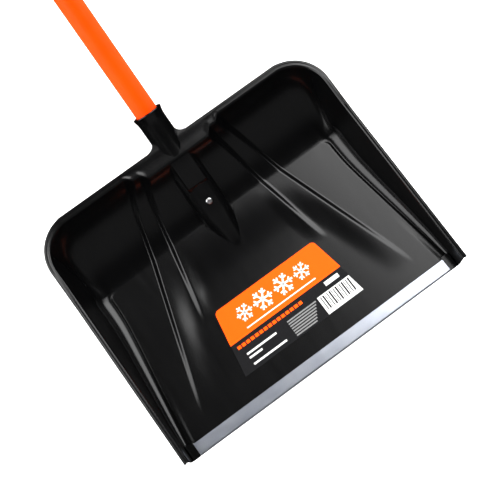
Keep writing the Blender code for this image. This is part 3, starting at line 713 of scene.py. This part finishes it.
def floor_detail(x, y):
    """Small relief of the floor: grooves before the strip, and what its edges add."""
    groove = -GROOVE_DEPTH * math.exp(-((y + FLOOR_LENGTH - GROOVE_PLACE) / GROOVE_WIDTH) ** 2)
    lip = -GROOVE_DEPTH * math.exp(-((y + FLOOR_LENGTH) / GROOVE_WIDTH) ** 2)
    return groove + lip + edge_detail(floor_half(y) - abs(x), y)


def edge_detail(inside, y):
    """Relief of the floor at a distance inside its edge: the step down, and the crown's slope."""
    step = -EDGE_DROP * ease(1 - inside / EDGE_DROP_WIDTH)
    crown = max(CROWN_WIDTH - inside, 0) / CROWN_WIDTH
    return step - CROWN_DROP * crown ** 2 * ease((-y - CROWN_START) / (FLOOR_LENGTH - CROWN_START))


def lifted_row(surface, y, up, s, push, edge):
    """Row of points across the scoop, pushed out of its plain surface by the panels and the tunnel."""
    row = []
    for x in both_sides(column_places(y, s, edge)):
        base = Vector((x, y, up))
        step = panel_rise(x, s)
        lift = max(step + floor_detail(x, y), tunnel_rise(x, base, push))
        drop = Vector((0, 0, FLANGE_SLOPE * step * max(s, 0) / BACK_WALL_LENGTH))
        row.append(surface.add(base + push * step - drop, base + push * lift - drop))
    return row


def core_rows(surface):
    """Flat floor with its ribs and the tunnel's point."""
    return [lifted_row(surface, y, 0, y, UP, floor_half(y) - FLOOR_CORNER) for y in CORE_ROWS]


def outward_station(surface, start, origin, direction, back_share):
    """Line of points from the core over the floor's edge and one wall to the foot of the skirt."""
    wall, rim, rise = station_section(origin, direction, back_share)
    side_share = 1 - back_share
    line = [start]
    for inside in EDGE_PLACES:
        point = origin + direction * (FLOOR_CORNER - inside)
        plain = Vector((point.x, point.y, fold_lift(point.y, 0, rise)))
        relief = Vector((0, 0, edge_detail(inside, point.y) * side_share))
        line.append(surface.add(plain, plain + relief))
    low = edge_detail(0, origin.y) * side_share
    for out, up, _ in wall + rim:
        point = origin + direction * (FLOOR_CORNER + out)
        plain = Vector((point.x, point.y, up + fold_lift(point.y, up, rise)))
        relief = Vector((0, 0, low * max(1 - up / FILLET_AT_LIP, 0)))
        line.append(surface.add(plain, plain + relief))
    return line


def back_lines(surface, starts):
    """Lines of points up the back wall and over its rim, with the stepped panels and the tunnel."""
    edge = floor_half(CORE_BACK) - FLOOR_CORNER
    wall, rim, rise = station_section(Vector((0, CORE_BACK, 0)), Vector((0, 1, 0)), 1)
    rows = [starts] + [lifted_row(surface, -inside, 0, -inside, UP, edge) for inside in EDGE_PLACES]
    travelled, previous = 0.0, wall[0]
    for out, up, turn in wall:
        travelled += math.hypot(out - previous[0], up - previous[1])
        previous = (out, up)
        lean = turn / BACK_ANGLE * math.pi / 2
        push = Vector((0, -math.sin(lean), math.cos(lean)))
        s = min(travelled, BACK_WALL_LENGTH)
        rows.append(lifted_row(surface, out, up + fold_lift(out, up, rise), s, push, edge))
    places = both_sides(column_places(wall[-1][0], BACK_WALL_LENGTH, edge))
    for out, up, hold in rim:
        inwards = [panel_rise(x, BACK_WALL_LENGTH) * (1 - hold) for x in places]
        rows.append([surface.add(Vector((x, out - step, up - FLANGE_SLOPE * step)))
                     for x, step in zip(places, inwards)])
    return list(zip(*rows))


def scoop_surface():
    """The whole open side: floor, side walls, corners, back wall and rim."""
    surface = Surface()
    core = core_rows(surface)
    sides = []
    for side in (-1, 1):
        column = 0 if side < 0 else -1
        starts = [None] * len(SIDE_ROWS) + [row[column] for row in core]
        lines = []
        for y, start in zip(SIDE_ROWS + CORE_ROWS, starts):
            origin = Vector((side * (floor_half(y) - FLOOR_CORNER), y, 0))
            lines.append(outward_station(surface, start, origin, Vector((side, 0, 0)), 0))
        pole = Vector((side * (floor_half(CORE_BACK) - FLOOR_CORNER), CORE_BACK, 0))
        for k in range(1, CORNER_STEPS):
            turn = math.pi / 2 * k / CORNER_STEPS
            direction = Vector((side * math.cos(turn), math.sin(turn), 0))
            lines.append(outward_station(surface, core[-1][column], pole, direction, k / CORNER_STEPS))
        sides.append(lines)
    surface.skin(core[::-1])
    surface.skin(sides[0] + back_lines(surface, core[-1]) + sides[1][::-1])
    return surface


def face_normal(points, face):
    across = points[face[2]] - points[face[0]]
    return across.cross(points[face[-1]] - points[face[1]]).normalized()


def thickened(surface):
    """Closes the surface into a shell: the back follows the plain points at the shell's thickness."""
    normals = [Vector((0, 0, 0)) for _ in surface.plain]
    for face in surface.faces:
        normal = face_normal(surface.plain, face)
        for k in face:
            normals[k] += normal
    bm = bmesh.new()
    front = [bm.verts.new(point) for point in surface.full]
    back = [bm.verts.new(point - normal.normalized() * SHELL)
            for point, normal in zip(surface.plain, normals)]
    edges = set()
    for face in surface.faces:
        shown = bm.faces.new([front[k] for k in face])
        centre = sum((surface.full[k] for k in face), Vector()) / len(face)
        if abs(face_normal(surface.full, face).x) > WALL_FACING and centre.z > WALL_FOOT:
            shown.material_index = 1
        bm.faces.new([back[k] for k in reversed(face)])
        edges.update(zip(face, face[1:] + face[:1]))
    for a, b in edges:
        if (b, a) not in edges:
            bm.faces.new([front[b], front[a], back[a], back[b]])
    return bm


def socket_collar():
    """Collar round the shaft, from its foot under the scoop to the flared mouth behind the rim."""
    start = SHAFT_FOOT + AXIS * COLLAR_START
    length = (MOUTH - start).length
    flare = length - MOUTH_FLARE
    profile = [(0, 0), (COLLAR_RADIUS - FOOT_BREAK, 0), (COLLAR_RADIUS, FOOT_BREAK), (COLLAR_RADIUS, flare)]
    for k in range(1, FLARE_STEPS + 1):
        t = k / FLARE_STEPS
        profile.append((mix(COLLAR_RADIUS, MOUTH_RADIUS, t ** 2), flare + (MOUTH_FLARE - MOUTH_LIP) * t))
    profile.append((MOUTH_RADIUS - 0.4 * MOUTH_LIP, length - 0.3 * MOUTH_LIP))
    profile += [(MOUTH_RADIUS - MOUTH_LIP, length), (0, length)]
    return turned(profile, along_shaft(start), BORE_SIDES)


def collar_flare():
    """Web that spreads the collar out into the rim's flange."""
    outline = arc((FLARE_HALF, BACK_DEPTH + FLARE_LENGTH), FLARE_LENGTH, 270, 180, 16)
    outline += [(-x, y) for x, y in reversed(outline)]
    outline += [(-FLARE_HALF, BACK_DEPTH - FLARE_ROOT), (FLARE_HALF, BACK_DEPTH - FLARE_ROOT)]
    top = BACK_HEIGHT - FLARE_DROP
    return extruded(outline, top - FLARE_THICKNESS, top)


def socket_boss():
    """Flat-topped boss over the tunnel's upper end, from a step behind the screw to the rim's flange."""
    foot = axis_point(BOSS_START).z + TUNNEL_RADIUS - BOSS_SINK
    crest = axis_point(BOSS_START + BOSS_STEP).z + BOSS_RISE
    end = BOSS_END + BOSS_CHAMFER
    profile = [(BOSS_START, BOSS_FLOOR), (BOSS_START, foot),
               (BOSS_START + BOSS_STEP * 0.4, mix(foot, crest, 0.65)), (BOSS_START + BOSS_STEP, crest),
               (BOSS_END, BOSS_TOP), (end, BOSS_TOP - BOSS_CHAMFER), (end, BOSS_FLOOR_AT_END)]
    sections = [(-BOSS_HALF + near, inset) for near, inset in BOSS_EDGE]
    sections += [(-x, inset) for x, inset in reversed(sections)]
    bm = bmesh.new()
    rings = [[bm.verts.new((x, y, z - inset)) for y, z in profile] for x, inset in sections]
    bridged(bm, rings, closed=True)
    return bm


def strip_tongue():
    """Thin front edge of the floor that the strip is folded over."""
    middle = -SHELL / 2
    front, back = LIP_Y + STRIP_SHEET + GAP * 2, -FLOOR_LENGTH + ROOT
    half = STRIP_HALF - TONGUE_INSET
    return extruded([(-half, front), (half, front), (half, back), (-half, back)],
                    middle - TONGUE / 2, middle + TONGUE / 2)


def lug(side):
    """Block with a rounded tip that fills the corner between one end of the strip and the side wall."""
    near, far, back = STRIP_HALF + GAP, STRIP_HALF + GAP + LUG_WIDTH, -FLOOR_LENGTH + ROOT
    outline = rounded([(near, LIP_Y), (far, LIP_Y), (far, back), (near, back)], LUG_CORNER)
    return extruded([(side * x, y) for x, y in outline], -SHELL, LUG_RISE)


def screw_room(seat):
    """Hole and flat seat for a screw."""
    radius, head, bottom = SCREW_RADIUS + GAP, SCREW_HEAD + HEAD_ROOM, -SCREW_LENGTH - HOLE_END
    profile = [(0, bottom), (radius, bottom), (radius, -GAP),
               (head, -GAP), (head, HEAD_CLEAR), (0, HEAD_CLEAR)]
    return turned(profile, across_shaft(seat), HOLE_SIDES)


def shaft_bore(start, margin, length):
    """Round cutter for the shaft, from a little before a point on its axis."""
    radius = SHAFT_RADIUS + GAP
    profile = [(0, -margin), (radius, -margin), (radius, length), (0, length)]
    return turned(profile, along_shaft(start), BORE_SIDES)


def make_scoop(materials):
    """Scoop moulding: the shell with everything that is moulded on it, then bored."""
    scoop = add_object("scoop_moulding", thickened(scoop_surface()), materials)
    for solid in (socket_collar(), collar_flare(), socket_boss(), strip_tongue(), lug(-1), lug(1)):
        combine(scoop, solid, "UNION")
    bore_start = SHAFT_FOOT - AXIS * BORE_END
    combine(scoop, shaft_bore(bore_start, 0, (MOUTH - bore_start).length + CUT_MARGIN))
    combine(scoop, screw_room(SOCKET_SCREW_SEAT))
    soften_normals(scoop, SCOOP_CREASE)
    show(scoop, "scoop_plastic", "scoop")


# ---- strip, shaft, screws

def make_wear_strip(material):
    """Channel folded from thin sheet over the tongue, with a round nose and a slight wave along its top."""
    middle = -SHELL / 2
    inner = TONGUE / 2 + GAP
    outer = inner + STRIP_SHEET
    nose, back = LIP_Y + outer, -FLOOR_LENGTH - 2 * GAP
    section = arc((nose, middle), outer, 90, 270, 24)
    section.append((back - SHEET_BREAK, middle - outer))
    section += [(back, middle - outer + SHEET_BREAK), (back, middle - inner)]
    section += arc((nose, middle), inner, 270, 90, 12)
    section += [(back, middle + inner), (back, middle + outer - SHEET_BREAK)]
    section.append((back - SHEET_BREAK, middle + outer))
    bm = bmesh.new()
    rings = []
    for x in spread([-STRIP_HALF, STRIP_HALF], [110]):
        wave = sum(height * math.sin(x / length + phase) for height, length, phase in STRIP_WAVES)
        rings.append([bm.verts.new((x, y, z + (wave if z > middle else 0))) for y, z in section])
    bridged(bm, rings[::-1], closed=True)
    strip = add_object("folded_wear_strip", bm, [material], 30)
    show(strip, "strip_metal", "wear_strip")


def make_shaft(coating):
    """Orange coating, drawn with a fine wall; the tube under it is the CAD node."""
    inner, rim = SHAFT_RADIUS - COATING, SHAFT_RADIUS - END_BREAK
    heights = spread([END_BREAK, SHAFT_LENGTH - END_BREAK], [70])
    profile = [(inner, 0), (rim, 0)] + [(SHAFT_RADIUS, z) for z in heights]
    profile += [(rim, SHAFT_LENGTH), (inner, SHAFT_LENGTH)]
    shaft = add_object("orange_shaft_coating", turned(profile, along_shaft(SHAFT_FOOT), 128), [coating])
    combine(shaft, screw_room(SOCKET_SCREW_SEAT))
    combine(shaft, screw_room(GRIP_SCREW_SEAT))
    soften_normals(shaft)
    show(shaft, "orange_coating", "shaft_coating")


def screw_profile():
    """Outline of a pan-head screw from its point, over its thread, to the top of its head."""
    neck = SCREW_RADIUS * 0.85
    profile = [(0, -SCREW_LENGTH), (SCREW_RADIUS * 0.3, -SCREW_LENGTH + 1)]
    for k in range(THREAD_TURNS):
        z = mix(-SCREW_LENGTH + 3, -2.5, k / THREAD_TURNS)
        profile += [(SCREW_RADIUS * THREAD_ROOT, z), (SCREW_RADIUS, z + 0.5)]
    profile += [(neck, -1.2), (neck, 0), (SCREW_HEAD - 0.2, 0), (SCREW_HEAD, SCREW_RIM_BREAK)]
    profile.append((SCREW_HEAD, SCREW_RIM))
    for k in range(1, 8):
        turn = math.pi / 2 * k / 8
        profile.append((SCREW_HEAD * math.cos(turn), mix(SCREW_RIM, SCREW_HEAD_HEIGHT, math.sin(turn))))
    return profile + [(0, SCREW_HEAD_HEIGHT)]


def make_screw(name, seat, node, material):
    """Pan-head screw with a cross recess and a threaded, pointed shank."""
    screw = add_object(name, turned(screw_profile(), across_shaft(seat), 48), [material])
    long, short = SCREW_HEAD * CROSS_REACH, SCREW_HEAD * CROSS_HALF
    quarter = [(short, short), (short, long), (-short, long)]
    turns = ((1, 0), (0, 1), (-1, 0), (0, -1))
    cross = [(x * c - y * s, x * s + y * c) for c, s in turns for x, y in quarter]
    recess = extruded(cross, SCREW_HEAD_HEIGHT - CROSS_DEPTH, SCREW_HEAD_HEIGHT + 1)
    recess.transform(across_shaft(seat))
    combine(screw, recess)
    soften_normals(screw, 30)
    show(screw, "screw_zinc", node)


# ---- grip

def grip_path():
    """Middle line of the grip's loop, across the shaft and along it: a rounded triangle on a short base."""
    low, high = (GRIP_WAIST, GRIP_WAIST_HEIGHT), (BAR_HALF, BAR_HEIGHT)
    lean = math.degrees(math.atan2(high[1] - low[1], high[0] - low[0]))
    corner = arc((high[0] - GRIP_CORNER, high[1] - GRIP_CORNER), GRIP_CORNER, lean - 90, 90, 12)
    right = spread([0, 1], [8])[:-1]
    right = [(mix(low[0], corner[0][0], t), mix(low[1], corner[0][1], t)) for t in right] + corner
    bar = [(x, high[1]) for x in (24, 12, 0, -12, -24)]
    left = [(-x, y) for x, y in reversed(right)]
    return right + bar + left + [(0, low[1] - 2)]


def grip_loop():
    """Oval tube round the loop."""
    bm = bmesh.new()
    path = [Vector((x, 0, z)) for x, z in grip_path()]
    rings = []
    for k, point in enumerate(path):
        ahead = (path[(k + 1) % len(path)] - path[k - 1]).normalized()
        side = ahead.cross(Vector((0, 1, 0)))
        rings.append([bm.verts.new(point + side * c * BAR_RADIUS * BAR_FLAT + Vector((0, s * BAR_RADIUS, 0)))
                      for c, s in circle(LOOP_SIDES)])
    bridged(bm, rings[:1] + rings[::-1])
    bm.transform(along_shaft(SHAFT_TOP - AXIS * GRIP_OVERLAP))
    return bm


def make_grip(material):
    """D-grip: stem and loop blended into one smooth moulding, then bored for the shaft and its screw."""
    start = SHAFT_TOP - AXIS * GRIP_OVERLAP
    profile = [(0, 0), (STEM_RADIUS - 0.6, 0), (STEM_RADIUS, FOOT_BREAK), (STEM_RADIUS, GRIP_OVERLAP - 8),
               (STEM_RADIUS - 2, STEM_TOP - 5), (STEM_RADIUS - 6, STEM_TOP), (0, STEM_TOP)]
    grip = add_object("d_grip", turned(profile, along_shaft(start)), [material])
    combine(grip, grip_loop(), "UNION")
    remesh = grip.modifiers.new("blend", "REMESH")
    remesh.mode = "VOXEL"
    remesh.voxel_size = GRIP_VOXEL * MM
    smooth = grip.modifiers.new("smooth", "SMOOTH")
    smooth.iterations = GRIP_SMOOTHING
    apply_modifiers(grip)
    combine(grip, shaft_bore(start, CUT_MARGIN, GRIP_OVERLAP + GAP))
    combine(grip, screw_room(GRIP_SCREW_SEAT))
    soften_normals(grip)
    show(grip, "grip_plastic", "grip")


# ---- sticker

def label_half(y):
    return mix(LABEL_TOP_HALF, LABEL_BOTTOM_HALF, (y - LABEL_TOP) / (LABEL_BOTTOM - LABEL_TOP))


def box_outline(left, right, low, high, slant=0.0):
    """Rectangle, or a box whose right edge leans by slant."""
    return [(left, low), (right, low), (right + slant, high), (left, high)]


def print_shape(bm, outline, material, level):
    """Thin layer of ink on the film."""
    low = FILM_HIGH + INK * (level - 1)
    layer = extruded(outline, low, low + INK)
    for face in layer.faces:
        face.material_index = material
    mesh = bpy.data.meshes.new("ink")
    layer.to_mesh(mesh)
    layer.free()
    bm.from_mesh(mesh)
    bpy.data.meshes.remove(mesh)


def flake_arms(centre, radius, width):
    """Outlines of a plain six-armed snow crystal."""
    outlines = [bar_outline(centre, math.radians(60 * k), -radius, radius, width) for k in range(3)]
    for k in range(6):
        angle = math.radians(60 * k)
        root = (centre[0] + radius * 0.55 * math.cos(angle), centre[1] + radius * 0.55 * math.sin(angle))
        for lean in (-50, 50):
            outlines.append(bar_outline(root, angle + math.radians(lean), 0, radius * 0.38, width * 0.8))
    return outlines


def bar_outline(root, angle, start, end, width):
    """Narrow bar that leaves a point at an angle."""
    along, across = (math.cos(angle), math.sin(angle)), (-math.sin(angle), math.cos(angle))
    corners = [(start, -width / 2), (end, -width / 2), (end, width / 2), (start, width / 2)]
    return [(root[0] + a * along[0] + b * across[0], root[1] + a * along[1] + b * across[1])
            for a, b in corners]


def label_outline():
    """Outline of the film: it widens towards the lip and has rounded upper corners."""
    outline = [(label_half(LABEL_BOTTOM), LABEL_BOTTOM)]
    outline += arc((LABEL_TOP_HALF - LABEL_CORNER, LABEL_TOP - LABEL_CORNER), LABEL_CORNER, 9, 90, 8)
    return outline + [(-x, y) for x, y in reversed(outline)]


def print_orange_half(bm, outline):
    """Orange panel with white snow crystals over a thin rule."""
    half = label_half(LABEL_MIDDLE)
    upper = [point for point in outline if point[1] > LABEL_TOP - 2 * LABEL_CORNER]
    print_shape(bm, [(half, LABEL_MIDDLE)] + upper + [(-half, LABEL_MIDDLE)], ORANGE, 1)
    for x, radius in CRYSTALS:
        for arm in flake_arms((x, CRYSTAL_Y), radius, radius * CRYSTAL_BAR):
            print_shape(bm, arm, WHITE, 2)
    print_shape(bm, box_outline(*RULE_BOX), WHITE, 2)


def print_black_half(bm):
    """Dashes, lines, stripes and a white box with bars on the black film."""
    for k in range(DASHES):
        left = DASH_LEFT + k * DASH_PITCH
        print_shape(bm, box_outline(left, left + DASH_LENGTH, *DASH_LEVELS), ORANGE, 1)
    print_shape(bm, box_outline(*END_BOX), WHITE, 1)
    for low, right in LINES:
        print_shape(bm, box_outline(LINE_LEFT, right, low, low + LINE_HEIGHT), WHITE, 1)
    for k in range(STRIPES):
        low = STRIPE_LOW + k * STRIPE_PITCH
        right = STRIPE_RIGHT + k * STRIPE_GROWTH
        print_shape(bm, box_outline(STRIPE_LEFT, right, low, low + STRIPE_HEIGHT), GREY, 1)
    print_shape(bm, box_outline(*BARS_BOX), WHITE, 1)
    for k in range(BARS):
        left = BARS_LEFT + k * BARS_PITCH
        width = BARS_WIDTHS[k % len(BARS_WIDTHS)]
        print_shape(bm, box_outline(left, left + width, *BARS_LEVELS), BLACK, 2)


def make_label(materials):
    """Sticker with a plain printed pattern."""
    outline = label_outline()
    bm = extruded(outline, FILM_LOW, FILM_HIGH)
    print_orange_half(bm, outline)
    print_black_half(bm)
    label = add_object("printed_sticker", bm, materials)
    show(label, "label_film", "label")


# ---- stage, lights and camera

REFERENCE = Vector((0, -80, 0))
CAMERA_DISTANCE = 1445
CAMERA_TILT, CAMERA_SWING = math.radians(12.322), math.radians(4.026)
CAMERA_ROLL = math.radians(36.897)
CAMERA_YAW, CAMERA_PITCH = math.radians(0.296), math.radians(0.443)
CAMERA_LENS = 72.6

SENSOR_WIDTH, VIEW_GAMMA = 36, 0.85

SWEEP_RADIUS, SWEEP_CURVE, SWEEP_HEIGHT, SWEEP_SIDES, SWEEP_LEVEL = 14, 4, 12, 64, -0.0003
LIGHT_DISTANCE = 5
ROOM_RADIANCE = 0.02

# Each light: name, tilt and swing, angular size, radiance, and whether the plastic mirrors it
LIGHTS = (
    ("right_softbox", -26.5, 34.3, (51, 53), 5.8, True),
    ("left_softbox", -26.5, -45, (56, 53), 4.8, True),
    ("lip_card", 56, 0, (80, 36), 0.3, True),
    ("room_fill", 15, -30, (50, 50), 0.6, False),
)


def make_stage():
    """Pale studio sweep, in metres: a wide floor that curves up into a wall all round."""
    flat = SWEEP_RADIUS - SWEEP_CURVE
    profile = [(1, 0), (3, 0), (flat, 0)]
    profile += [(flat + x, SWEEP_CURVE + z) for x, z in arc((0, 0), SWEEP_CURVE, 280, 360, 8)]
    profile.append((SWEEP_RADIUS, SWEEP_HEIGHT))
    bm = bmesh.new()
    rings = [[bm.verts.new((radius * c, radius * s, height)) for c, s in circle(SWEEP_SIDES)]
             for radius, height in profile]
    bm.faces.new(rings[0])
    bridged(bm, rings)
    sweep = meshed("studio_sweep", bm, [floor_paper()])
    sweep.location.z = SWEEP_LEVEL
    sweep.visible_glossy = False


def scoop_direction(tilt, swing):
    """Direction in the scoop's frame that leans from +Z towards the lip by tilt and to +X by swing."""
    return Vector((math.sin(swing), -math.cos(swing) * math.sin(tilt), math.cos(swing) * math.cos(tilt)))


def add_light(name, tilt, swing, spans, radiance, glossy):
    """Soft panel facing the scoop: tilt and swing are its direction, spans its angular size, in degrees."""
    light = bpy.data.lights.new(name, "AREA")
    light.shape = "RECTANGLE"
    light.size, light.size_y = (2 * LIGHT_DISTANCE * math.tan(math.radians(span / 2)) for span in spans)
    light.energy = radiance * math.pi * light.size * light.size_y
    obj = linked(name, light)
    tilt, swing = math.radians(tilt), math.radians(swing)
    direction = SCOOP.to_3x3() @ scoop_direction(tilt, swing)
    across = SCOOP.to_3x3() @ Vector((math.cos(swing), 0, -math.sin(swing)))
    across = (across - direction * across.dot(direction)).normalized()
    turn = Matrix((across, direction.cross(across), direction)).transposed().to_4x4()
    obj.matrix_world = Matrix.Translation(SCOOP @ (REFERENCE * MM) + direction * LIGHT_DISTANCE) @ turn
    obj.visible_camera = False
    obj.visible_glossy = glossy


def make_lights():
    world = bpy.data.worlds.new("studio")
    world.use_nodes = True
    background = world.node_tree.nodes["Background"]
    background.inputs["Color"].default_value = (1, 1, 1, 1)
    background.inputs["Strength"].default_value = ROOM_RADIANCE
    bpy.context.scene.world = world
    for light in LIGHTS:
        add_light(*light)


def make_camera():
    camera = linked("camera", bpy.data.cameras.new("camera"))
    camera.data.lens = CAMERA_LENS
    camera.data.sensor_width = SENSOR_WIDTH
    back = scoop_direction(CAMERA_TILT, -CAMERA_SWING)
    right = (-back).cross(Vector((0, 1, 0))).normalized()
    up = right.cross(-back)
    forward = (-back * math.cos(CAMERA_YAW) * math.cos(CAMERA_PITCH)
               + right * math.sin(CAMERA_YAW) + up * math.sin(CAMERA_PITCH)).normalized()
    right = forward.cross(up).normalized()
    up = right.cross(forward)
    turn = Matrix((right, up, -forward)).transposed() @ Matrix.Rotation(-CAMERA_ROLL, 3, "Z")
    place = (REFERENCE + back * CAMERA_DISTANCE) * MM
    camera.matrix_world = SCOOP @ Matrix.Translation(place) @ turn.to_4x4()
    camera.data.clip_end = 50
    bpy.context.scene.camera = camera


def main():
    make_camera()
    make_scoop([scoop_plastic(), wall_plastic()])
    make_wear_strip(strip_metal())
    make_shaft(coating_plastic())
    zinc = plain_metal("zinc_plate", (0.8, 0.8, 0.82), 0.18, 0.3)
    make_screw("socket_screw_fine", SOCKET_SCREW_SEAT, "socket_screw", zinc)
    make_screw("grip_screw_fine", GRIP_SCREW_SEAT, "grip_screw", zinc)
    make_grip(grip_plastic())
    make_label([print_film("sticker_black", (0.012, 0.012, 0.013), (0.008, 0.008, 0.009)),
                print_film("sticker_orange", (0.95, 0.108, 0.001), (0.92, 0.1, 0.001)),
                print_film("sticker_white", (0.6, 0.6, 0.59), (0.55, 0.55, 0.54)),
                print_film("sticker_grey", (0.22, 0.22, 0.22), (0.18, 0.18, 0.18))])
    frame["nodes"]["shaft_tube"].data.materials[0] = plain_metal("tube_steel", (0.5, 0.5, 0.51), 0.35, 0.5)
    frame["nodes"]["tube_plug"].data.materials[0] = plug_plastic()
    make_stage()
    make_lights()
    view = bpy.context.scene.view_settings
    view.view_transform = "Standard"
    view.gamma = VIEW_GAMMA


main()
